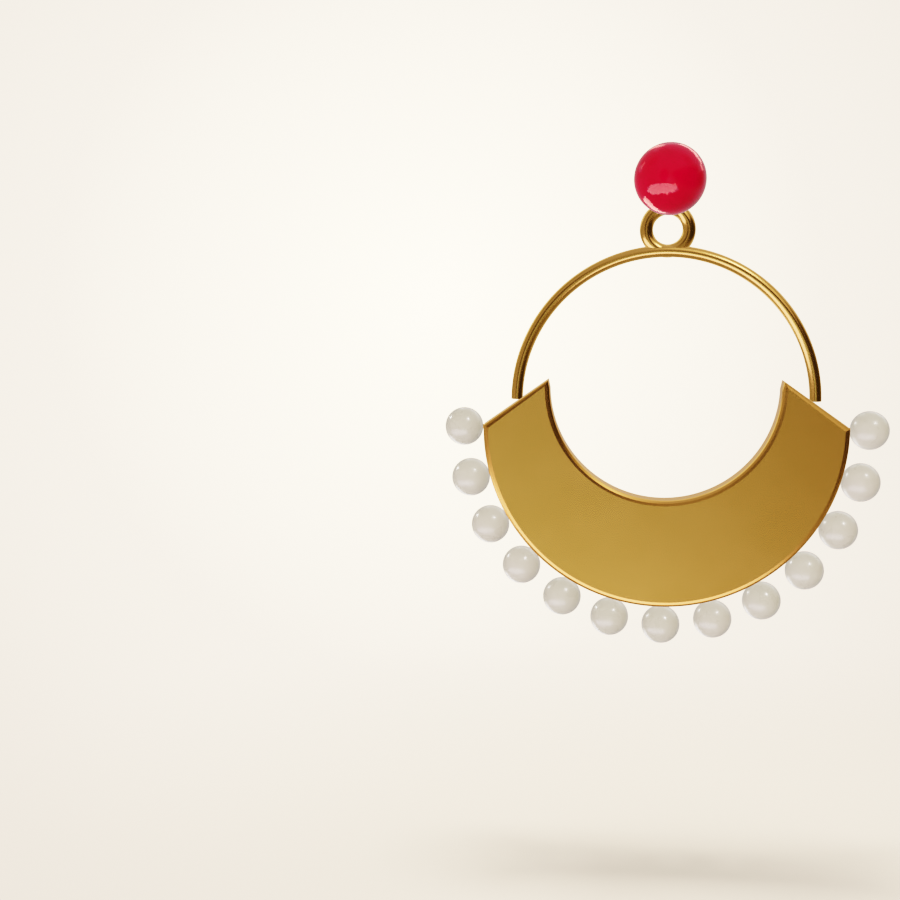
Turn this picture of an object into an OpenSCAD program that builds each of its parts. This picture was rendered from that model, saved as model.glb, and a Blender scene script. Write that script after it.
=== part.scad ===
// Chandbali drop earring: ball stud, ring, half hoop, bevelled crescent and a rim of pearls.
// Millimetres. Z is up, -Y is the front, X is to the right seen from the front.
// The origin is where the ear post leaves the back face of the stud's cup, against the ear lobe.

/* [Stud] */
// Diameter of the red ball
bead_d = 7.98; // [7:0.01:8]
// Distance from the ball's centre back to the face that rests on the ear lobe
bead_stand = 5.5; // [5.4:0.1:6.5]
// Diameter of the cup behind the ball
cup_d = 4.2; // [3.6:0.1:4.4]
// How far the cup's rim stands forward of the ear lobe face
cup_h = 2.2; // [2:0.1:2.3]
// Diameter of the ear post
post_d = 0.8; // [0.7:0.05:1]
// Length of the ear post behind the lobe face
post_len = 10.5; // [9:0.5:12]
// Diameter of the peg that enters the ball
peg_d = 1.0; // [0.8:0.1:1.2]
// Depth of the blind hole in the ball
bead_hole = 2.7; // [2:0.1:3]

/* [Link] */
// Wire diameter of the eye under the cup
eye_wire_d = 0.4; // [0.3:0.05:0.45]
// Diameter of the ring's thinned head, which turns in the eye
neck_d = 0.7; // [0.6:0.05:0.7]
// Length of the thinned head, along the ring's wire
neck_len = 0.9; // [0.8:0.05:1.2]
// Radial clearance of the thinned head in the eye
link_gap = 0.05; // [0.03:0.01:0.1]

/* [Ring and hoop] */
// Radius of the ring to the middle of its wire
ring_r = 2.41; // [2.3:0.01:2.6]
// Wire diameter of the ring
ring_wire_d = 1.5; // [1.3:0.05:1.6]
// Height of the ring's centre over the hoop's centre
ring_rise = 19.42; // [19.3:0.01:19.6]
// Radius of the half hoop to the middle of its wire
hoop_r = 17; // [16.9:0.01:17.1]
// Wire diameter of the half hoop
hoop_wire_d = 1.35; // [1.2:0.05:1.5]
// How far the hoop stands in front of the ring and the crescent's middle
hoop_front = 0.2; // [0:0.05:0.4]

/* [Crescent] */
// Outer radius of the crescent
outer_r = 20.86; // [20.6:0.01:21]
// Drop of the outer arc's centre under the hoop's centre
outer_drop = 3.28; // [3.1:0.01:3.4]
// Radius of the crescent's inner arc
inner_r = 13.16; // [12.9:0.01:13.4]
// Rise of the inner arc's centre over the hoop's centre
inner_rise = 1.58; // [1.4:0.01:1.6]
// Thickness of the crescent
plate_t = 3.2; // [2.6:0.1:3.3]
// Width of the rounded bevel, seen from the front
bevel_w = 0.6; // [0.4:0.02:0.7]
// Depth of the rounded bevel, from front to back
bevel_d = 0.5; // [0.2:0.05:0.6]
// Facets in each rounded bevel
bevel_n = 3; // [2:1:5]

/* [Pearls] */
// Diameter of a pearl
pearl_d = 4.44; // [4:0.01:4.46]
// Radius of the row of pearl centres
pearl_row_r = 23.18; // [23.1:0.01:23.4]
// Angle between neighbouring pearls
pearl_step = 15; // [15:15:15]
// Diameter of the pegs that carry the pearls
pin_d = 0.56; // [0.4:0.02:0.6]
// How far each peg reaches past its pearl's centre
pin_past = 0.3; // [0:0.1:1]
// Clearance round a peg inside its pearl, and round the ball's peg
fit_gap = 0.05; // [0.03:0.01:0.08]

/* [Hidden] */

gold = [0.83, 0.66, 0.27];
red = [0.8, 0.0, 0.12];
ivory = [0.87, 0.85, 0.80];

bead_r = bead_d / 2;
bead_y = -bead_stand;            // the ball's centre, level with the post
drop_y = -1.7;                   // middle plane of the ring, crescent and pearls
hoop_y = drop_y - hoop_front;    // middle plane of the hoop's wire
hoop_z = -24.89;                 // hoop centre
ring_z = hoop_z + ring_rise;
link_z = ring_z + ring_r;        // the hinge axis: middle of the wire at the ring's head
outer_z = hoop_z - outer_drop;
inner_z = hoop_z + inner_rise;
eye_r = neck_d / 2 + link_gap + eye_wire_d / 2;

// Points of the rounded bevel: a quarter ellipse from the flat face (k = 0) to the rim's wall.
function bevel_in(k) = bevel_w * (1 - sin(90 * k / bevel_n));
function bevel_up(k) = plate_t / 2 - bevel_d + bevel_d * cos(90 * k / bevel_n);

// Horn edge of the crescent at its widest section: from the tip down to the outer corner.
horn_tip = [inner_r + 0.22, 0.76 + inner_rise];
horn_corner = [outer_r, 0.3 - outer_drop];
horn_angle = atan2(horn_corner[1] - horn_tip[1], horn_corner[0] - horn_tip[0]);
horn_bevel = 0.85;               // the horn's bevel is a little narrower than the rims'
horn_over = 1.02;                // and starts a hair outside the flat faces, so the bevels cross cleanly

// A solid of revolution about the Y axis.
module about_y() {
    rotate([90, 0, 0]) rotate_extrude($fn = 180) children();
}

// Full disc with bevelled rims, for the crescent's outer arc.
module rim_disc() {
    about_y() polygon(concat(
        [[0, -plate_t / 2]],
        [for (k = [0 : bevel_n]) [outer_r - bevel_in(k), -bevel_up(k)]],
        [for (k = [bevel_n : -1 : 0]) [outer_r - bevel_in(k), bevel_up(k)]],
        [[0, plate_t / 2]]));
}

// Half section of the crescent's inner opening, flared at both faces.
function flare() = concat(
    [[0, -plate_t], [inner_r + bevel_w, -plate_t]],
    [for (k = [0 : bevel_n]) [inner_r + bevel_in(k), -bevel_up(k)]],
    [for (k = [bevel_n : -1 : 0]) [inner_r + bevel_in(k), bevel_up(k)]],
    [[inner_r + bevel_w, plate_t], [0, plate_t]]);

// Everything over one horn's sloping edge, with the bevel of that edge.
module over_horn() {
    translate([horn_tip[0], 0, horn_tip[1]])
        rotate([0, -horn_angle, 0])
            rotate([0, 90, 0])
                translate([0, 0, -16])
                    linear_extrude(height = 40)
                        polygon(concat(
                            [[-30, -plate_t], [bevel_w * horn_bevel, -plate_t]],
                            [for (k = [0 : bevel_n]) [bevel_in(k) * horn_bevel, -bevel_up(k) * horn_over]],
                            [for (k = [bevel_n : -1 : 0]) [bevel_in(k) * horn_bevel, bevel_up(k) * horn_over]],
                            [[bevel_w * horn_bevel, plate_t], [-30, plate_t]]));
}

// The crescent about the hoop's centre, middle plane at y = 0.
module crescent() {
    difference() {
        translate([0, 0, -outer_drop]) rim_disc();
        translate([0, 0, inner_rise]) union() {
            rotate([-90, 0, 0]) rotate_extrude(angle = 180, $fn = 180) polygon(flare());
            linear_extrude(height = 30) polygon(concat(flare(),
                [for (p = [len(flare()) - 2 : -1 : 1]) [-flare()[p][0], flare()[p][1]]]));
        }
        over_horn();
        mirror([1, 0, 0]) over_horn();
    }
}

// The half hoop about its own centre, ends cut level.
module hoop() {
    rotate([90, 0, 0]) rotate_extrude(angle = 180, $fn = 180)
        translate([hoop_r, 0]) circle(d = hoop_wire_d, $fn = 48);
}

// The ring about its own centre, with its head thinned where it passes the eye.
module ring() {
    difference() {
        rotate([90, 0, 0]) rotate_extrude($fn = 96)
            translate([ring_r, 0]) circle(d = ring_wire_d, $fn = 48);
        translate([-neck_len / 2, -ring_wire_d, ring_r - ring_wire_d])
            cube([neck_len, 2 * ring_wire_d, 2 * ring_wire_d]);
    }
    translate([-neck_len / 2 - 0.25, 0, ring_r]) rotate([0, 90, 0])
        cylinder(d = neck_d, h = neck_len + 0.5, $fn = 48);
}

// One pearl peg, from inside the rim outwards, at angle a about the outer arc's centre.
module pearl_pin(a) {
    rotate([0, -a, 0]) translate([outer_r - 1.2, 0, 0]) rotate([0, 90, 0])
        cylinder(d = pin_d, h = pearl_row_r + pin_past - outer_r + 1.2, $fn = 32);
}

// Ring, hoop, crescent and pearl pegs, soldered into one solid.
module gold_frame() {
    color(gold) union() {
        translate([0, drop_y, hoop_z]) crescent();
        translate([0, hoop_y, hoop_z]) hoop();
        translate([0, drop_y, ring_z]) ring();
        translate([0, drop_y, outer_z])
            for (i = [1 : 13]) pearl_pin(180 + pearl_step * (i - 1));
    }
}

// Pearl number i, counted from the left end round the bottom; drilled half way for its peg.
module pearl(i) {
    color(ivory) translate([0, drop_y, outer_z])
        rotate([0, -(180 + pearl_step * (i - 1)), 0]) difference() {
            translate([pearl_row_r, 0, 0]) sphere(d = pearl_d, $fn = 96);
            translate([pearl_row_r - pearl_d, 0, 0]) rotate([0, 90, 0])
                cylinder(d = pin_d + 2 * fit_gap, h = pearl_d + pin_past + 0.1, $fn = 32);
        }
}

// The red ball, drilled blind from the back.
module stud_bead() {
    color(red) difference() {
        translate([0, bead_y, 0]) sphere(d = bead_d, $fn = 128);
        translate([0, bead_y + bead_r - bead_hole, 0]) rotate([-90, 0, 0])
            cylinder(d = peg_d + 2 * fit_gap, h = bead_hole + 1, $fn = 48);
    }
}

// Peg, cup, ear post and eye in one solid, hidden behind the ball.
module ear_post() {
    color(gold) union() {
        difference() {
            rotate([90, 0, 0]) rotate_extrude($fn = 96)
                polygon([[0, 0], [cup_d / 2 - 0.2, 0], [cup_d / 2, 0.2], [cup_d / 2, cup_h], [0, cup_h]]);
            translate([0, bead_y, 0]) sphere(d = bead_d + 2 * fit_gap, $fn = 128);
        }
        // Peg into the ball
        translate([0, bead_y + bead_r - bead_hole + 0.1, 0]) rotate([-90, 0, 0])
            cylinder(d = peg_d, h = bead_hole + 0.6, $fn = 48);
        // Ear post, with a rounded end
        rotate([-90, 0, 0]) rotate_extrude($fn = 48)
            polygon([[0, -0.5], [post_d / 2, -0.5], [post_d / 2, post_len - 0.3],
                     [post_d / 2 - 0.12, post_len - 0.08], [post_d / 2 - 0.25, post_len], [0, post_len]]);
        // Eye that carries the ring, and the short tab that joins it to the cup
        translate([0, drop_y, link_z]) rotate([0, 90, 0]) rotate_extrude($fn = 96)
            translate([eye_r, 0]) circle(d = eye_wire_d, $fn = 32);
        translate([-0.2, drop_y - 0.35, link_z + eye_r - 0.05])
            cube([0.4, 0.7, -cup_d / 2 + 0.5 - link_z - eye_r + 0.05]);
    }
}

stud_bead();
ear_post();
gold_frame();
pearl(1);  // pearl_01
pearl(2);  // pearl_02
pearl(3);  // pearl_03
pearl(4);  // pearl_04
pearl(5);  // pearl_05
pearl(6);  // pearl_06
pearl(7);  // pearl_07
pearl(8);  // pearl_08
pearl(9);  // pearl_09
pearl(10);  // pearl_10
pearl(11);  // pearl_11
pearl(12);  // pearl_12
pearl(13);  // pearl_13
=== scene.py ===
import math

import bpy
from mathutils import Matrix, Vector


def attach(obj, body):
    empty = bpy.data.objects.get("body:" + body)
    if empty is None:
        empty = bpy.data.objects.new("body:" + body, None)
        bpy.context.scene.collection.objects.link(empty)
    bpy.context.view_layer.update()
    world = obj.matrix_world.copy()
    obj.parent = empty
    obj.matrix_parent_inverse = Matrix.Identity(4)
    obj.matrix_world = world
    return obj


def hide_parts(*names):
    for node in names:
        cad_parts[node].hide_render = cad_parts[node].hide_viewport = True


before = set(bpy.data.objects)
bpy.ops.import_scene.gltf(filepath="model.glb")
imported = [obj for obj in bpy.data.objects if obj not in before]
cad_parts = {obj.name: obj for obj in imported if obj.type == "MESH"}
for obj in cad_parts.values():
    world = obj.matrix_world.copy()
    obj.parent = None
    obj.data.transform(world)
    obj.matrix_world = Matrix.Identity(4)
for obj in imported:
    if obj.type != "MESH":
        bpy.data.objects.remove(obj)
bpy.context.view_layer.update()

scene = bpy.context.scene
MM = 0.001

# ------------------------------------------------------------------ sizes, in millimetres, as the CAD has them
BEAD_R, BEAD_Y = 7.98 / 2, -5.5
DROP_Y, HOOP_Y, HOOP_Z = -1.7, -1.9, -24.89
RING_R, RING_WIRE, RING_Z = 2.41, 0.75, -24.89 + 19.42
NECK_R, NECK_LEN = 0.35, 0.9
HOOP_R, HOOP_WIRE = 17.0, 0.675
FACE_OUT, FACE_OUT_Z = 20.26, -3.28      # outer arc of the flat face, about the hoop's centre
FACE_IN, FACE_IN_Z = 13.76, 1.58         # inner arc of the flat face
BEVEL_W, BEVEL_T, BEVEL_N, HALF_T = 0.6, 0.5, 3, 1.6
OUTER_R, OUTER_Z = 20.86, HOOP_Z - 3.28
PEARL_R, PEARL_ROW, PEARL_STEP = 2.22, 23.18, 15.0
PIN_R, PIN_PAST, GAP = 0.28, 0.3, 0.05


# ------------------------------------------------------------------ mesh helpers
def mesh_piece(name, verts, faces, smooth=True, sharp=None):
    """A piece from points in millimetres. sharp(edge key) says which edges stay crisp."""
    me = bpy.data.meshes.new(name)
    me.from_pydata([(x * MM, y * MM, z * MM) for x, y, z in verts], [], faces)
    me.update()
    me.polygons.foreach_set("use_smooth", [smooth] * len(me.polygons))
    if sharp is not None:
        flags = [sharp(tuple(sorted(e.vertices))) for e in me.edges]
        attr = me.attributes.get("sharp_edge") or me.attributes.new("sharp_edge", "BOOLEAN", "EDGE")
        attr.data.foreach_set("value", flags)
    ob = bpy.data.objects.new(name, me)
    scene.collection.objects.link(ob)
    return ob


def recalc(ob):
    """Faces all turned outwards."""
    import bmesh
    bm = bmesh.new()
    bm.from_mesh(ob.data)
    bmesh.ops.recalc_face_normals(bm, faces=bm.faces)
    bm.to_mesh(ob.data)
    bm.free()
    ob.data.update()


def frame_of(axis):
    """Two unit vectors square to axis."""
    a = Vector(axis).normalized()
    u = a.cross(Vector((0, 1, 0)) if abs(a.y) < 0.9 else Vector((1, 0, 0))).normalized()
    return a, u, a.cross(u).normalized()


def lathe(name, profile, origin, axis, segs=96, crisp=()):
    """Turns (distance along axis, radius) rows about axis. A radius of 0 closes to one point. crisp lists the rows whose ring of edges stays sharp."""
    a, u, w = frame_of(axis)
    o = Vector(origin)
    verts, rings = [], []
    for d, r in profile:
        c = o + a * d
        if r <= 1e-9:
            rings.append([len(verts)])
            verts.append(tuple(c))
        else:
            rings.append(list(range(len(verts), len(verts) + segs)))
            for k in range(segs):
                t = 2 * math.pi * k / segs
                verts.append(tuple(c + u * (r * math.cos(t)) + w * (r * math.sin(t))))
    faces = []
    for p, q in zip(rings, rings[1:]):
        for k in range(segs):
            j = (k + 1) % segs
            if len(p) == 1 and len(q) == 1:
                continue
            if len(p) == 1:
                faces.append((p[0], q[j], q[k]))
            elif len(q) == 1:
                faces.append((p[k], p[j], q[0]))
            else:
                faces.append((p[k], p[j], q[j], q[k]))
    crisp_edges = set()
    for i in crisp:
        ring = rings[i]
        if len(ring) > 1:
            for k in range(segs):
                crisp_edges.add(tuple(sorted((ring[k], ring[(k + 1) % segs]))))
    ob = mesh_piece(name, verts, faces, sharp=lambda e: e in crisp_edges)
    recalc(ob)
    return ob


def sweep_round(name, centre, big_r, stations, segs=48, closed=True, cap_in=0.0, crisp=()):
    """A bent round wire about the Y axis: stations are (angle in degrees, wire radius, inset from the station's plane). Open wires are capped flat."""
    verts, rings = [], []
    for ang, r in stations:
        t = math.radians(ang)
        er = Vector((math.cos(t), 0, math.sin(t)))
        c = Vector(centre) + er * big_r
        rings.append(list(range(len(verts), len(verts) + segs)))
        for k in range(segs):
            p = 2 * math.pi * k / segs
            verts.append(tuple(c + er * (r * math.cos(p)) + Vector((0, r * math.sin(p), 0))))
    faces = []
    n = len(rings)
    for i in range(n if closed else n - 1):
        p, q = rings[i], rings[(i + 1) % n]
        for k in range(segs):
            j = (k + 1) % segs
            faces.append((p[k], p[j], q[j], q[k]))
    if not closed:
        for ring in (rings[0], rings[-1]):
            mid = len(verts)
            c = Vector((0, 0, 0))
            for i in ring:
                c += Vector(verts[i])
            verts.append(tuple(c / len(ring)))
            for k in range(segs):
                faces.append((ring[k], ring[(k + 1) % segs], mid))
    crisp_edges = set()
    for i in crisp:
        ring = rings[i]
        for k in range(segs):
            crisp_edges.add(tuple(sorted((ring[k], ring[(k + 1) % segs]))))
    ob = mesh_piece(name, verts, faces, sharp=lambda e: e in crisp_edges)
    recalc(ob)
    return ob


def join(name, objs):
    """Several meshes as one piece."""
    verts, faces, crisp = [], [], []
    for ob in objs:
        base = len(verts)
        me = ob.data
        verts += [tuple(v.co) for v in me.vertices]
        faces += [tuple(base + i for i in p.vertices) for p in me.polygons]
        attr = me.attributes.get("sharp_edge")
        if attr:
            for e in me.edges:
                if attr.data[e.index].value:
                    crisp.append(tuple(sorted((base + e.vertices[0], base + e.vertices[1]))))
        bpy.data.objects.remove(ob)
    crisp = set(crisp)
    return mesh_piece(name, [(x / MM, y / MM, z / MM) for x, y, z in verts], faces, sharp=lambda e: e in crisp)


# ------------------------------------------------------------------ the crescent
def crescent():
    """The plate with its rounded bevel in three flat bands, as one closed mesh about the hoop's centre."""
    n = 160
    rows = []  # each row is one closed outline: outer arc left to right round the bottom, then inner arc right to left
    tip_vec = Vector((-0.6325, 1.265))    # the sharp horn tip's mitre is limited
    corner_vec = Vector((1.0, 0.5))

    def outline(s):
        """Points at share s of the bevel's width outside the flat face."""
        d = BEVEL_W * s
        pts = []
        for i in range(n + 1):
            t = math.pi + math.pi * i / n
            if i in (0, n):
                side = -1 if i == 0 else 1
                pts.append((side * (FACE_OUT + d * corner_vec.x), FACE_OUT_Z + d * corner_vec.y))
            else:
                r = FACE_OUT + d
                pts.append((r * math.cos(t), FACE_OUT_Z + r * math.sin(t)))
        for i in range(n + 1):
            t = 2 * math.pi - math.pi * i / n
            if i in (0, n):
                side = 1 if i == 0 else -1
                pts.append((side * (FACE_IN + d * tip_vec.x), FACE_IN_Z + d * tip_vec.y))
            else:
                r = FACE_IN - d
                pts.append((r * math.cos(t), FACE_IN_Z + r * math.sin(t)))
        return pts

    levels = []
    for k in range(BEVEL_N + 1):
        t = math.radians(90 * k / BEVEL_N)
        levels.append((math.sin(t), HALF_T - BEVEL_T + BEVEL_T * math.cos(t)))
    for s, h in levels:                       # front face outwards to the wall
        rows.append([(x, DROP_Y - h, HOOP_Z + z) for x, z in outline(s)])
    for s, h in reversed(levels):             # and from the wall to the back face
        rows.append([(x, DROP_Y + h, HOOP_Z + z) for x, z in outline(s)])
    m = 2 * (n + 1)
    verts = [p for row in rows for p in row]
    faces, crisp = [], set()
    for r in range(len(rows) - 1):
        for i in range(m):
            j = (i + 1) % m
            faces.append((r * m + i, r * m + j, (r + 1) * m + j, (r + 1) * m + i))
    for r in range(len(rows)):
        for i in range(m):
            crisp.add(tuple(sorted((r * m + i, r * m + (i + 1) % m))))
    for r in range(len(rows) - 1):            # the four corners stay sharp from front to back
        for i in (0, n, n + 1, m - 1):
            crisp.add(tuple(sorted((r * m + i, (r + 1) * m + i))))
    for base in (0, (len(rows) - 1) * m):     # the two flat faces
        for i in range(n):
            faces.append((base + i, base + i + 1, base + m - 2 - i, base + m - 1 - i))
    ob = mesh_piece("gold_crescent", verts, faces, sharp=lambda e: e in crisp)
    recalc(ob)
    return ob


gold_crescent = crescent()


# ------------------------------------------------------------------ hoop, ring and pearl pegs
def hoop():
    """The half hoop, its two ends cut flat and just broken at the edge."""
    eps = 0.05
    turn = math.degrees(eps / HOOP_R)
    stations = [(0.0, HOOP_WIRE - eps)]
    stations += [(turn + (180.0 - 2 * turn) * i / 200, HOOP_WIRE) for i in range(201)]
    stations += [(180.0, HOOP_WIRE - eps)]
    return sweep_round("gold_hoop", (0, HOOP_Y, HOOP_Z), HOOP_R, stations, segs=64, closed=False,
                       crisp=(0, 1, len(stations) - 2, len(stations) - 1))


def ring():
    """The small ring; its head is thinned where it turns in the eye behind the ball."""
    half = math.degrees(math.asin(NECK_LEN / 2 / RING_R))
    a, b = 90.0 - half, 90.0 + half            # where the neck starts and ends
    step = 2.4
    k = int((a + 360.0 - b - 2 * step) / step)
    body = [(b + step + (a + 360.0 - b - 2 * step) * i / k, RING_WIRE) for i in range(k + 1)]
    start = [(b, NECK_R), (b, RING_WIRE - 0.12), (b + 0.6, RING_WIRE - 0.035), (b + 1.5, RING_WIRE)]
    end = [(360 + a - 1.5, RING_WIRE), (360 + a - 0.6, RING_WIRE - 0.035), (360 + a, RING_WIRE - 0.12), (360 + a, NECK_R)]
    neck = [(360 + a + (b - a) * i / 8, NECK_R) for i in range(1, 8)]
    stations = start + body + end + neck
    crisp = (0, 1, len(start) + len(body) + 2, len(start) + len(body) + 3)
    return sweep_round("gold_ring", (0, DROP_Y, RING_Z), RING_R, stations, segs=64, closed=True, crisp=crisp)


def pegs():
    """The thirteen pegs that the pearls are set on."""
    made = []
    for i in range(13):
        a = math.radians(180 + PEARL_STEP * i)
        axis = (math.cos(a), 0, math.sin(a))
        start = OUTER_R - 0.6
        end = PEARL_ROW + PIN_PAST
        origin = (0, DROP_Y, OUTER_Z)
        prof = [(start, 0.0), (start, PIN_R), (OUTER_R - 0.02, PIN_R + 0.0), (end - 0.06, PIN_R), (end, PIN_R - 0.07), (end, 0.0)]
        made.append(lathe("peg", prof, origin, axis, segs=32, crisp=(1, 3, 4)))
    return join("pearl_pegs", made)


gold_hoop = hoop()
gold_ring = ring()
pearl_pegs = pegs()
for ob in (gold_crescent, gold_hoop, gold_ring, pearl_pegs):
    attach(ob, "drop")
    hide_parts("gold_frame")


# ------------------------------------------------------------------ pearls
def drilled_ball(name, centre, radius, axis, hole_r, hole_bottom, segs, rings, lip=0.03):
    """A ball about centre, drilled along axis from its +axis pole down to hole_bottom from the centre."""
    prof = []
    top = math.asin((hole_r + lip) / radius)   # polar angle of the hole's lip
    for i in range(rings + 1):
        t = math.pi - (math.pi - top) * i / rings
        prof.append((radius * math.cos(t), 0.0 if i == 0 else radius * math.sin(t)))
    d = prof[-1][0]
    prof.append((d - lip * 0.5, hole_r + lip * 0.25))
    prof.append((d - lip * 1.5, hole_r))
    prof.append((hole_bottom + 0.1, hole_r))
    prof.append((hole_bottom, hole_r * 0.75))
    prof.append((hole_bottom - 0.08, 0.0))
    return lathe(name, prof, centre, axis, segs=segs, crisp=(len(prof) - 3, len(prof) - 2))


pearls = []
for i in range(13):
    a = math.radians(180 + PEARL_STEP * i)
    er = Vector((math.cos(a), 0, math.sin(a)))
    c = Vector((0, DROP_Y, OUTER_Z)) + er * PEARL_ROW
    ob = drilled_ball("nacre_%02d" % (i + 1), tuple(c), PEARL_R, tuple(-er), PIN_R + GAP, -PIN_PAST - 0.05, 96, 64)
    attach(ob, "drop")
    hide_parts("pearl_%02d" % (i + 1))
    pearls.append(ob)

# ------------------------------------------------------------------ the stud
red_ball = drilled_ball("red_ball", (0, BEAD_Y, 0), BEAD_R, (0, 1, 0), 0.55, BEAD_R - 2.7, 160, 120, lip=0.04)
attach(red_ball, "stud")
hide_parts("stud_bead")


def stud_back():
    """Cup with its seat for the ball, peg, ear post, eye and tab."""
    seat_r = BEAD_R + GAP
    cup_r, cup_h = 2.1, 2.2

    def seat(r):                      # y of the seat at radius r from the axis
        return BEAD_Y + math.sqrt(seat_r * seat_r - r * r)
    prof = [(10.5, 0.0), (10.5, 0.15), (10.42, 0.28), (10.2, 0.4), (0.12, 0.4), (0.03, 0.44), (0.0, 0.53),
            (0.0, 1.9), (-0.05, 2.02), (-0.2, 2.1), (-1.9, cup_r), (-2.12, cup_r - 0.03), (-cup_h, cup_r - 0.09)]
    edge = 1.93
    prof.append((min(seat(edge), -1.9) - 0.0, edge))
    for k in range(1, 9):
        r = edge + (0.5 - edge) * k / 8
        prof.append((seat(r), r))
    peg_end = BEAD_Y + BEAD_R - 2.7 + 0.1
    prof += [(peg_end + 0.1, 0.5), (peg_end, 0.42), (peg_end, 0.0)]
    core = lathe("core", [(y, r) for y, r in prof], (0, 0, 0), (0, 1, 0), segs=96, crisp=(1, 3, 12, 13, 21, 22, 23))
    eye = []
    link_z = RING_Z + RING_R
    er, wr = NECK_R + GAP + 0.2, 0.2
    verts, faces = [], []
    na, nb = 64, 24
    for i in range(na):
        t = 2 * math.pi * i / na
        for j in range(nb):
            p = 2 * math.pi * j / nb
            rad = er + wr * math.cos(p)
            verts.append((wr * math.sin(p), DROP_Y + rad * math.cos(t), link_z + rad * math.sin(t)))
    for i in range(na):
        for j in range(nb):
            faces.append((i * nb + j, ((i + 1) % na) * nb + j, ((i + 1) % na) * nb + (j + 1) % nb, i * nb + (j + 1) % nb))
    eye = mesh_piece("eye", verts, faces)
    recalc(eye)
    # the tab, an upright round-cornered bar from the eye up into the cup
    lo, hi = link_z + er - 0.05, -1.6
    out = []
    hx, hy, c = 0.2, 0.35, 0.06
    for sx, sy in ((1, 1), (-1, 1), (-1, -1), (1, -1)):
        for k in range(5):
            t = math.radians(90 * k / 4) + {(1, 1): 0, (-1, 1): math.pi / 2, (-1, -1): math.pi, (1, -1): 1.5 * math.pi}[(sx, sy)]
            out.append((sx * (hx - c) + c * math.cos(t), sy * (hy - c) + c * math.sin(t)))
    verts = [(x, DROP_Y + y, z) for z in (lo, hi) for x, y in out]
    m = len(out)
    faces = [(i, (i + 1) % m, m + (i + 1) % m, m + i) for i in range(m)] + [tuple(range(m)), tuple(range(m, 2 * m))]
    caps = {tuple(sorted((i, (i + 1) % m))) for i in range(m)} | {tuple(sorted((m + i, m + (i + 1) % m))) for i in range(m)}
    tab = mesh_piece("tab", verts, faces, sharp=lambda e: e in caps)
    recalc(tab)
    return join("stud_back", [core, eye, tab])


stud_metal = stud_back()
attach(stud_metal, "stud")
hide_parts("ear_post")

# ------------------------------------------------------------------ camera: the photograph's place and lens
cam_data = bpy.data.cameras.new("camera")
cam = bpy.data.objects.new("camera", cam_data)
scene.collection.objects.link(cam)
cam_data.sensor_width = 36.0
cam_data.lens = 57.09
cam_data.clip_start, cam_data.clip_end = 0.005, 50.0
side = Vector((0.994429, 0.105405, -0.000539)).normalized()
rise = Vector((-0.013047, 0.128160, 0.991668))
rise = (rise - side * rise.dot(side)).normalized()
back = side.cross(rise)
side = (side - 0.000315 * back).normalized()
rise = (rise + 0.00035 * back).normalized()
back = side.cross(rise)
m = Matrix((side, rise, back)).transposed().to_4x4()
m.translation = Vector((-0.007265, -0.167388, -0.009455))
cam.matrix_world = m
scene.camera = cam

# ------------------------------------------------------------------ node helpers
class Tree:
    """Short ways to add nodes to one node tree."""

    def __init__(self, tree):
        self.tree = tree
        tree.nodes.clear()

    def node(self, kind, **values):
        n = self.tree.nodes.new(kind)
        for key, value in values.items():
            setattr(n, key, value)
        return n

    def put(self, socket, value):
        if isinstance(value, bpy.types.NodeSocket):
            self.tree.links.new(value, socket)
        else:
            socket.default_value = value

    def math(self, op, a, b=None, c=None, clamp=False):
        n = self.node("ShaderNodeMath", operation=op, use_clamp=clamp)
        for i, x in enumerate((a, b, c)):
            if x is not None:
                self.put(n.inputs[i], x)
        return n.outputs[0]

    def vec(self, op, a, b=None, scale=None):
        n = self.node("ShaderNodeVectorMath", operation=op)
        self.put(n.inputs[0], a)
        if b is not None:
            self.put(n.inputs[1], b)
        if scale is not None:
            self.put(n.inputs["Scale"], scale)
        return n.outputs["Value"] if op in ("DOT_PRODUCT", "LENGTH", "DISTANCE") else n.outputs[0]

    def ramp(self, x, lo, hi, to_lo=0.0, to_hi=1.0, smooth=True):
        n = self.node("ShaderNodeMapRange", interpolation_type="SMOOTHSTEP" if smooth else "LINEAR")
        for key, value in (("Value", x), ("From Min", lo), ("From Max", hi), ("To Min", to_lo), ("To Max", to_hi)):
            self.put(n.inputs[key], value)
        return n.outputs[0]

    def noise(self, vector, scale, detail=2.0, rough=0.5, distortion=0.0):
        n = self.node("ShaderNodeTexNoise")
        self.put(n.inputs["Vector"], vector)
        n.inputs["Scale"].default_value = scale
        n.inputs["Detail"].default_value = detail
        n.inputs["Roughness"].default_value = rough
        n.inputs["Distortion"].default_value = distortion
        return n.outputs[0]

    def mix(self, share, a, b):
        n = self.node("ShaderNodeMix", data_type="RGBA")
        self.put(n.inputs[0], share)
        for i, x in ((6, a), (7, b)):
            self.put(n.inputs[i], x if isinstance(x, bpy.types.NodeSocket) else (*x, 1.0))
        return n.outputs[2]


# ------------------------------------------------------------------ tone curve and studio
def tone(x):
    """A soft filmic response, with 1 at WHITE."""
    return x * (2.51 * x + 0.03) / (x * (2.43 * x + 0.59) + 0.14)


WHITE = 2.5


def level(rgb):
    """The scene light that the tone curve shows as this 8-bit colour."""
    out = []
    for c in rgb:
        c /= 255.0
        want = c / 12.92 if c <= 0.04045 else ((c + 0.055) / 1.055) ** 2.4
        lo, hi = 0.0, WHITE
        for _ in range(50):
            mid = (lo + hi) / 2
            if tone(mid) / tone(WHITE) < want:
                lo = mid
            else:
                hi = mid
        out.append((lo + hi) / 2)
    return tuple(out)


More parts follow.
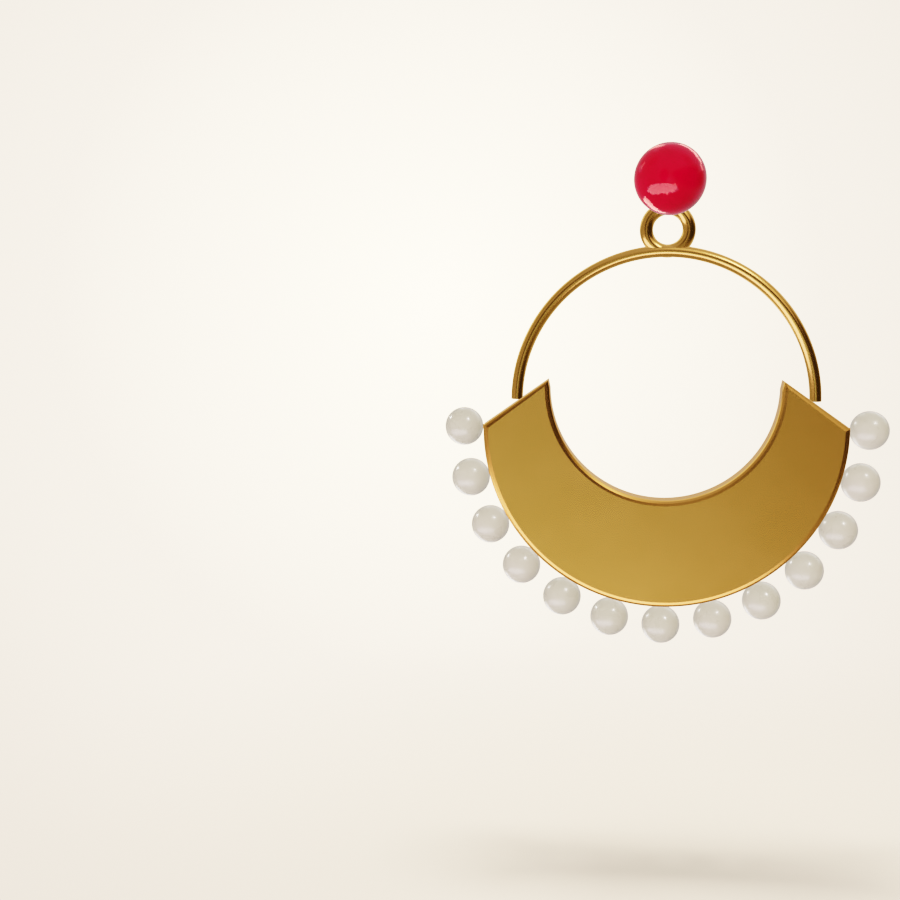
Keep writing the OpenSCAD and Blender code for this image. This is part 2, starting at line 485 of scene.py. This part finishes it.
view = scene.view_settings
view.view_transform = "Standard"
view.look = "None"
view.use_curve_mapping = True
curve = view.curve_mapping
curve.white_level = (WHITE, WHITE, WHITE)
points = curve.curves[3].points
points[0].location = (0.0, 0.0)
points[-1].location = (1.0, 1.0)
for x in (0.01, 0.02, 0.035, 0.05, 0.075, 0.1, 0.14, 0.2, 0.28, 0.38, 0.5, 0.65, 0.8):
    points.new(x, tone(x * WHITE) / tone(WHITE))
curve.update()


def toward(az, el):
    """Unit vector: azimuth 0 is the front (-Y), positive to the right; elevation above the horizon."""
    a, e = math.radians(az), math.radians(el)
    return Vector((math.sin(a) * math.cos(e), -math.cos(a) * math.cos(e), math.sin(e)))


world = bpy.data.worlds.new("studio")
scene.world = world
world.use_nodes = True
T = Tree(world.node_tree)
coord = T.node("ShaderNodeTexCoord").outputs["Generated"]
way = T.vec("NORMALIZE", coord)
sep = T.node("ShaderNodeSeparateXYZ")
T.put(sep.inputs[0], way)
dx, dy, dz = sep.outputs
elev = T.math("MULTIPLY", T.math("ARCSINE", T.math("MINIMUM", T.math("MAXIMUM", dz, -1.0), 1.0)), 180 / math.pi)
ragged = T.math("SUBTRACT", T.noise(way, 9.0, 2.0, 0.6), 0.5)


def panel(az, el, half_w, half_h, slope=0.0, soft=0.12, rough=0.0, power=2.0):
    """0 to 1: a soft-edged panel of light centred at az, el, its sizes in degrees."""
    a = math.radians(az)
    across = T.math("ADD", T.math("MULTIPLY", dx, math.cos(a)), T.math("MULTIPLY", dy, math.sin(a)))
    ahead = T.math("SUBTRACT", T.math("MULTIPLY", dx, math.sin(a)), T.math("MULTIPLY", dy, math.cos(a)))
    x = T.math("MULTIPLY", T.math("ARCTAN2", across, ahead), 180 / math.pi)
    y = T.math("SUBTRACT", T.math("SUBTRACT", elev, el), T.math("MULTIPLY", x, slope))
    qx = T.math("POWER", T.math("ABSOLUTE", T.math("DIVIDE", x, half_w)), power)
    qy = T.math("POWER", T.math("ABSOLUTE", T.math("DIVIDE", y, half_h)), 2.0)
    q = T.math("SQRT", T.math("ADD", qx, qy))
    if rough:
        q = T.math("ADD", q, T.math("MULTIPLY", ragged, rough))
    return T.ramp(q, 1.0 + soft, 1.0 - soft)


# what lights the object and shows in its gloss
light = T.math("ADD", 0.235, T.math("MULTIPLY", T.ramp(dz, 0.2, 1.0), 0.06))
light = T.math("ADD", light, T.math("MULTIPLY", panel(150, 10, 60, 60, soft=0.6), 0.2))
light = T.math("MULTIPLY", light, T.math("SUBTRACT", 1.0, T.math("MULTIPLY", panel(66, 3, 60, 27, soft=0.35), 0.84)))
light = T.math("MULTIPLY", light, T.math("SUBTRACT", 1.0, T.math("MULTIPLY", panel(-22, 8, 13, 20, soft=0.3), 0.7)))
light = T.math("MULTIPLY", light, T.math("SUBTRACT", 1.0, T.math("MULTIPLY", panel(60, -42, 60, 22, soft=0.4), 0.3)))
for spec, dim in (((18, 11, 11, 10, 0.0, 0.4), 0.75), ((80, 47, 18, 15, 0.0, 0.5), 0.3), ((-82, 46, 20, 16, 0.0, 0.5), 0.25)):
    light = T.math("MULTIPLY", light, T.math("SUBTRACT", 1.0, T.math("MULTIPLY", panel(*spec), dim)))
light = T.math("MULTIPLY", light, T.ramp(dz, -0.98, -0.75, 0.88, 1.0))
light = T.math("ADD", light, T.math("MULTIPLY", panel(3, -7, 16, 10, soft=0.6), 0.055))
light = T.math("ADD", light, T.math("MULTIPLY", panel(-8, -7, 7, 10, soft=0.6), 0.04))
for spec, gain in (
    ((-32, -33, 61, 16, -0.055, 0.03, 0.5, 2.6), 1.35),
    ((-150, -37, 33, 13, 0.0, 0.1, 0.5, 2.6), 0.5),
    ((165, 36, 66, 9, 0.33, 0.3, 0.4, 2.6), 0.2),
    ((-122, 18, 12, 6, 0.0, 0.3, 0.0, 2.0), 0.3),
):
    light = T.math("ADD", light, T.math("MULTIPLY", panel(*spec), gain))
lit = T.node("ShaderNodeBackground")
lit_colour = T.node("ShaderNodeCombineColor")
# dim light is warmer and deeper in colour, and the bright panel is creamy
green = T.math("SUBTRACT", T.ramp(light, 0.03, 0.3, 0.86, 1.01), T.ramp(light, 0.5, 1.35, 0.0, 0.14))
blue = T.math("SUBTRACT", T.ramp(light, 0.03, 0.36, 0.28, 1.08), T.ramp(light, 0.5, 1.4, 0.0, 0.04))
low_front = panel(-4, -13, 14, 11, soft=0.8)
green = T.math("ADD", green, T.math("MULTIPLY", low_front, 0.3))
blue = T.math("ADD", blue, T.math("MULTIPLY", low_front, 0.18))
for i, k in enumerate((1.0, green, blue)):
    T.put(lit_colour.inputs[i], T.math("MULTIPLY", light, k))
T.put(lit.inputs["Color"], lit_colour.outputs[0])
lit.inputs["Strength"].default_value = 1.0

# the pale backdrop itself, brightest behind the object
glow = (Vector((0, 0, 0)) + m.to_3x3() @ Vector((-10.0, 150.0, -1427.2))).normalized()
off = T.math("MULTIPLY", T.math("ARCCOSINE", T.math("MINIMUM", T.vec("DOT_PRODUCT", way, tuple(glow)), 1.0)), 180 / math.pi)
backdrop_colour = T.mix(T.ramp(off, 0.0, 15.0, smooth=False), level((254, 252, 246)), level((246, 242, 235)))
backdrop_colour = T.mix(T.ramp(off, 12.0, 30.0), backdrop_colour, level((238, 232, 223)))
seen = T.node("ShaderNodeBackground")
T.put(seen.inputs["Color"], backdrop_colour)
seen.inputs["Strength"].default_value = 1.0
choose = T.node("ShaderNodeMixShader")
T.put(choose.inputs[0], T.node("ShaderNodeLightPath").outputs["Is Camera Ray"])
T.put(choose.inputs[1], lit.outputs[0])
T.put(choose.inputs[2], seen.outputs[0])
out = T.node("ShaderNodeOutputWorld")
T.put(out.inputs["Surface"], choose.outputs[0])

# ------------------------------------------------------------------ floor: pale, fading into the backdrop
FLOOR_Z = -0.080
bpy_floor = []
rings_n, segs_n = 12, 96
fv, ff = [(0.0, 0.0, FLOOR_Z / MM)], []
for r in range(1, rings_n + 1):
    for k in range(segs_n):
        t = 2 * math.pi * k / segs_n
        fv.append((400.0 * r / rings_n * math.cos(t), 400.0 * r / rings_n * math.sin(t), FLOOR_Z / MM))
for k in range(segs_n):
    ff.append((0, 1 + k, 1 + (k + 1) % segs_n))
for r in range(rings_n - 1):
    a, b = 1 + r * segs_n, 1 + (r + 1) * segs_n
    for k in range(segs_n):
        j = (k + 1) % segs_n
        ff.append((a + k, b + k, b + j, a + j))
floor = mesh_piece("floor", fv, ff)
mat = bpy.data.materials.new("floor_paper")
mat.use_nodes = True
T = Tree(mat.node_tree)
obj = T.node("ShaderNodeTexCoord").outputs["Object"]
away = T.vec("LENGTH", T.vec("MULTIPLY", obj, (1.0, 1.0, 0.0)))
paper = T.node("ShaderNodeBsdfPrincipled")
grain = T.noise(obj, 900.0, 3.0)
far = T.node("ShaderNodeSeparateXYZ")
T.put(far.inputs[0], obj)
# painted light: the paper's colour is brighter towards the back (+y) and darker towards the front, a painted fall-off
# of the light
paper_painted_falloff = T.mix(T.ramp(far.outputs[1], -0.015, 0.03), (0.58, 0.56, 0.535), (0.66, 0.635, 0.6))
T.put(paper.inputs["Base Color"], T.mix(T.math("MULTIPLY", grain, 0.06), paper_painted_falloff, (0.75, 0.73, 0.7)))
paper.inputs["Roughness"].default_value = 0.9
paper.inputs["Specular IOR Level"].default_value = 0.1
clear = T.node("ShaderNodeBsdfTransparent")
fade = T.node("ShaderNodeMixShader")
# fades into the backdrop, and is clear from below so that the underside can be looked at
under = T.node("ShaderNodeNewGeometry").outputs["Backfacing"]
T.put(fade.inputs[0], T.math("MAXIMUM", T.ramp(away, 0.0, 0.11, 0.0, 1.0), under))
T.put(fade.inputs[1], paper.outputs[0])
T.put(fade.inputs[2], clear.outputs[0])
T.put(T.node("ShaderNodeOutputMaterial").inputs["Surface"], fade.outputs[0])
floor.data.materials.append(mat)
floor.visible_glossy = False
floor.visible_diffuse = False

# ------------------------------------------------------------------ lamps
def group(name, members):
    c = bpy.data.collections.new(name)
    scene.collection.children.link(c)
    for ob in members:
        c.objects.link(ob)
    return c


for_gold = group("lights_on_gold", [gold_crescent, gold_hoop, gold_ring, pearl_pegs, stud_metal])
for_pearls = group("lights_on_pearls", pearls)
for_ball = group("lights_on_ball", [red_ball])
only_floor = group("lights_on_floor", [floor])


def sun(name, az, el, strength, angle, colour, receivers, glossy=True):
    d = bpy.data.lights.new(name, "SUN")
    d.energy, d.angle, d.color = strength, math.radians(angle), colour
    d.use_shadow = False
    o = bpy.data.objects.new(name, d)
    scene.collection.objects.link(o)
    o.rotation_mode = "QUATERNION"
    o.rotation_quaternion = toward(az, el).to_track_quat("Z", "Y")
    o.light_linking.receiver_collection = receivers
    o.visible_glossy = glossy
    return o


def disc(name, az, el, radiance, angle, colour, receivers):
    """A far, round, soft light of this radiance that is this many degrees across."""
    return sun(name, az, el, radiance * math.pi * math.sin(math.radians(angle / 2)) ** 2, angle, colour, receivers)


KEY, RIM = (33, 41), (-119, 25)
WARM, COOL = (1.0, 0.97, 0.92), (0.96, 0.98, 1.0)
disc("key_for_gold", *KEY, 3.6, 15.0, (1.0, 1.05, 1.08), for_gold)
disc("key_halo_for_gold", 36, 43, 0.3, 50.0, (1.0, 0.95, 0.95), for_gold)
disc("upper_glint_for_gold", 58, 52, 0.55, 18.0, (1.0, 1.0, 1.0), for_gold)
disc("edge_glint_for_gold", 31, 20, 0.35, 16.0, (1.0, 1.0, 1.0), for_gold)
disc("rim_for_gold", -135, 25, 0.4, 50.0, COOL, for_gold)
sun("key_for_pearls", 37, 48, 0.7, 4.0, (1.0, 0.95, 0.9), for_pearls)
sun("key_fill_for_pearls", 37, 48, 0.47, 30.0, (1.0, 0.95, 0.96), for_pearls, glossy=False)
sun("rim_for_pearls", *RIM, 0.38, 5.0, WARM, for_pearls)
sun("top_fill_for_pearls", 20, 62, 0.42, 60.0, (1.0, 0.94, 0.9), for_pearls, glossy=False)
sun("low_fill_for_pearls", 15, -55, 0.36, 60.0, (1.0, 0.98, 1.08), for_pearls, glossy=False)
sun("key_for_ball", *KEY, 1.15, 3.0, WARM, for_ball, glossy=False)
sun("rim_for_ball", *RIM, 0.6, 3.0, COOL, for_ball, glossy=False)
sun("fill_for_ball", -32, -33, 0.5, 60.0, (1.0, 0.9, 0.9), for_ball, glossy=False)


def softbox(name, az, width, lo, hi, radiance, receivers, reach=0.7, colour=(1.0, 1.0, 1.0)):
    """A flat light panel at reach from the stud, its sizes in degrees as seen from there."""
    el, tall = (lo + hi) / 2, hi - lo
    d = bpy.data.lights.new(name, "AREA")
    d.shape = "RECTANGLE"
    d.size = 2 * reach * math.tan(math.radians(width / 2)) * math.cos(math.radians(el))
    d.size_y = 2 * reach * math.tan(math.radians(tall / 2))
    d.energy, d.color = radiance * math.pi * d.size * d.size_y, colour
    d.use_shadow = False
    o = bpy.data.objects.new(name, d)
    scene.collection.objects.link(o)
    o.location = toward(az, el) * reach
    o.rotation_mode = "QUATERNION"
    o.rotation_quaternion = toward(az, el).to_track_quat("Z", "Y")
    o.light_linking.receiver_collection = receivers
    o.visible_camera = False
    return o


# what the bead and the pearls see more sharply: az, width, lowest, highest, radiance
FRONT_PANELS = (
    (-84, 11, -38, -24, 1.1),
    (-73.5, 10, -41, -20, 1.15),
    (-63.5, 10, -42, -18, 1.15),
    (-54, 9, -45.5, -18.5, 1.15),
    (-45, 9, -44.5, -17, 1.15),
    (-36.5, 8, -43.5, -19, 1.15),
    (-28.5, 8, -48.5, -18, 1.15),
    (-20, 9, -51, -18.5, 1.15),
    (-12, 7, -49, -15.5, 1.15),
    (-4, 9, -43.5, -20, 1.15),
    (4.5, 8, -43, -21, 1.15),
    (12.5, 8, -42, -18, 1.15),
    (19.5, 6, -39, -24, 1.1),
)
BACK_PANELS = (
    (-124, 9, -44, -30, 1.7),
    (-133, 9, -47, -29, 1.8),
    (-142, 9, -46, -25, 1.9),
    (-151.5, 10, -49, -30, 1.8),
    (-162, 10, -44, -29, 1.7),
    (-172, 9, -41, -31, 1.3),
    (126, 12, 13, 22, 0.8),
    (138, 12, 20, 34, 1.4),
    (150, 12, 24, 38, 1.4),
    (162, 12, 29, 40, 1.2),
    (-166, 12, 26, 50, 0.9),
)


def torn_strips():
    """The front panel in narrow strips that run out and in by turns, with pointed ends."""
    outline = [(-91, -31, -31)] + [(az, lo, hi) for az, _, lo, hi, _ in FRONT_PANELS[1:-1]] + [(23, -30, -30)]
    strips = []
    for k in range(21):
        az = -88.5 + 5.3 * k
        for (a, lo_a, hi_a), (b, lo_b, hi_b) in zip(outline, outline[1:]):
            if a <= az < b:
                t = (az - a) / (b - a)
                lo, hi = lo_a + (lo_b - lo_a) * t, hi_a + (hi_b - hi_a) * t
                strips.append((az, 5.3, lo - (0.0, 2.2, 4.2, 2.0)[k % 4], hi + (2.8, 1.2, -0.4, 1.0)[k % 4], 1.15))
    return strips


for k, (az, width, lo, hi, radiance) in enumerate(torn_strips() + list(BACK_PANELS) + [(-117, 7, 19, 31, 0.7)]):
    tint = (1.0, 0.262, 0.208) if lo < 0 else (1.0, 0.25, 0.2)
    gloss_only = softbox("softbox_%02d" % (k + 1), az, width, lo, hi, radiance * (7.6 if lo < 0 else 5.0), for_ball, colour=tint)
    gloss_only.visible_diffuse = False
for k, (az, width, lo, hi, radiance) in enumerate(FRONT_PANELS + BACK_PANELS):
    softbox("soft_panel_%02d" % (k + 1), az, width, lo, hi, radiance * 0.97, for_pearls, colour=(1.0, 0.98, 0.93))

top = bpy.data.lights.new("top_softbox", "AREA")
top.shape, top.size, top.energy, top.color = "DISK", 0.115, 1.62, (1.0, 0.82, 0.6)
top_ob = bpy.data.objects.new("top_softbox", top)
top_ob.location = (-0.024, 0.012, 0.26)
top_ob.visible_camera = False
top_ob.light_linking.receiver_collection = only_floor
scene.collection.objects.link(top_ob)


# ------------------------------------------------------------------ materials
def material(name):
    mt = bpy.data.materials.new(name)
    mt.use_nodes = True
    t = Tree(mt.node_tree)
    bsdf = t.node("ShaderNodeBsdfPrincipled")
    t.put(t.node("ShaderNodeOutputMaterial").inputs["Surface"], bsdf.outputs[0])
    return mt, t, bsdf


def gold_material(name, tint=1.0, rough=0.245, green=1.0, blue=1.0):
    """Polished, plated gold: faint hairlines, a slightly uneven polish and a breath of colour change."""
    mt, t, b = material(name)
    o = t.node("ShaderNodeTexCoord").outputs["Object"]
    broad = t.noise(o, 160.0, 3.0, 0.55)
    fine = t.noise(o, 1100.0, 2.0, 0.5)
    lines = t.noise(t.vec("MULTIPLY", o, (260.0, 260.0, 2600.0)), 1.0, 1.0, 0.5, 0.3)
    lines2 = t.noise(t.vec("MULTIPLY", o, (2400.0, 500.0, 220.0)), 1.0, 1.0, 0.5, 0.3)
    b.inputs["Metallic"].default_value = 1.0
    b.inputs["Specular Tint"].default_value = (1.0, 0.88, 0.68, 1.0)
    deep = (0.93 * tint, 0.483 * tint * green, 0.147 * blue)
    pale = (0.955 * tint, 0.501 * tint * green, 0.16 * blue)
    t.put(b.inputs["Base Color"], t.mix(t.ramp(broad, 0.3, 0.7), deep, pale))
    r = t.math("ADD", t.ramp(broad, 0.25, 0.75, rough - 0.008, rough + 0.008), t.math("MULTIPLY", t.math("SUBTRACT", fine, 0.5), 0.02))
    t.put(b.inputs["Roughness"], r)
    h = t.math("ADD", t.math("MULTIPLY", fine, 0.5), t.math("ADD", t.math("MULTIPLY", lines, 0.3), t.math("MULTIPLY", lines2, 0.3)))
    bump = t.node("ShaderNodeBump")
    bump.inputs["Strength"].default_value = 0.02
    bump.inputs["Distance"].default_value = 0.000006
    t.put(bump.inputs["Height"], h)
    t.put(b.inputs["Normal"], bump.outputs[0])
    return mt


def pearl_material():
    """Nacre: ivory with slow cloudy changes, a soft depth and a glossy, very slightly uneven skin."""
    mt, t, b = material("nacre")
    o = t.node("ShaderNodeTexCoord").outputs["Object"]
    clouds = t.noise(o, 420.0, 3.0, 0.55, 0.4)
    slow = t.noise(o, 90.0, 1.0, 0.5)
    c = t.mix(t.ramp(clouds, 0.3, 0.72), (0.605, 0.555, 0.445), (0.645, 0.59, 0.48))
    c = t.mix(t.ramp(slow, 0.35, 0.65, 0.0, 0.35), c, (0.655, 0.58, 0.48))
    t.put(b.inputs["Base Color"], c)
    t.put(b.inputs["Roughness"], t.ramp(clouds, 0.25, 0.75, 0.26, 0.32))
    b.inputs["IOR"].default_value = 1.53
    b.inputs["Coat Weight"].default_value = 0.3
    b.inputs["Coat Roughness"].default_value = 0.14
    bump = t.node("ShaderNodeBump")
    bump.inputs["Strength"].default_value = 0.12
    bump.inputs["Distance"].default_value = 0.00003
    t.put(bump.inputs["Height"], t.noise(o, 1500.0, 2.0, 0.5))
    t.put(b.inputs["Normal"], bump.outputs[0])
    return mt


def red_material():
    """Deep red lacquered bead with a wet, faintly rippled gloss."""
    mt, t, b = material("red_gloss")
    o = t.node("ShaderNodeTexCoord").outputs["Object"]
    clouds = t.noise(o, 300.0, 2.0, 0.5, 0.3)
    t.put(b.inputs["Base Color"], t.mix(t.ramp(clouds, 0.3, 0.7), (0.61, 0.0, 0.04), (0.67, 0.0, 0.05)))
    b.inputs["Sheen Weight"].default_value = 0.3
    b.inputs["Sheen Roughness"].default_value = 0.35
    b.inputs["Sheen Tint"].default_value = (1.0, 0.08, 0.02, 1.0)
    t.put(b.inputs["Roughness"], t.ramp(t.noise(o, 900.0, 3.0), 0.2, 0.8, 0.015, 0.035))
    b.inputs["IOR"].default_value = 1.5
    b.inputs["Specular IOR Level"].default_value = 0.35
    bump = t.node("ShaderNodeBump")
    bump.inputs["Strength"].default_value = 0.25
    bump.inputs["Distance"].default_value = 0.00002
    t.put(bump.inputs["Height"], t.noise(o, 1400.0, 1.0, 0.5))
    t.put(b.inputs["Normal"], bump.outputs[0])
    return mt


gold = gold_material("polished_gold")
wire_gold = gold_material("polished_wire", rough=0.195, green=1.06, blue=1.15)
post_gold = gold_material("post_gold", tint=0.98, rough=0.26)
nacre = pearl_material()
red = red_material()
for ob in (gold_crescent, pearl_pegs):
    ob.data.materials.append(gold)
for ob in (gold_hoop, gold_ring):
    ob.data.materials.append(wire_gold)
stud_metal.data.materials.append(post_gold)
red_ball.data.materials.append(red)
for ob in pearls:
    ob.data.materials.append(nacre)

# the pieces are lit by the studio only, not by each other
for ob in [gold_crescent, gold_hoop, gold_ring, pearl_pegs, stud_metal, red_ball] + pearls:
    ob.visible_glossy = False
    ob.visible_diffuse = False
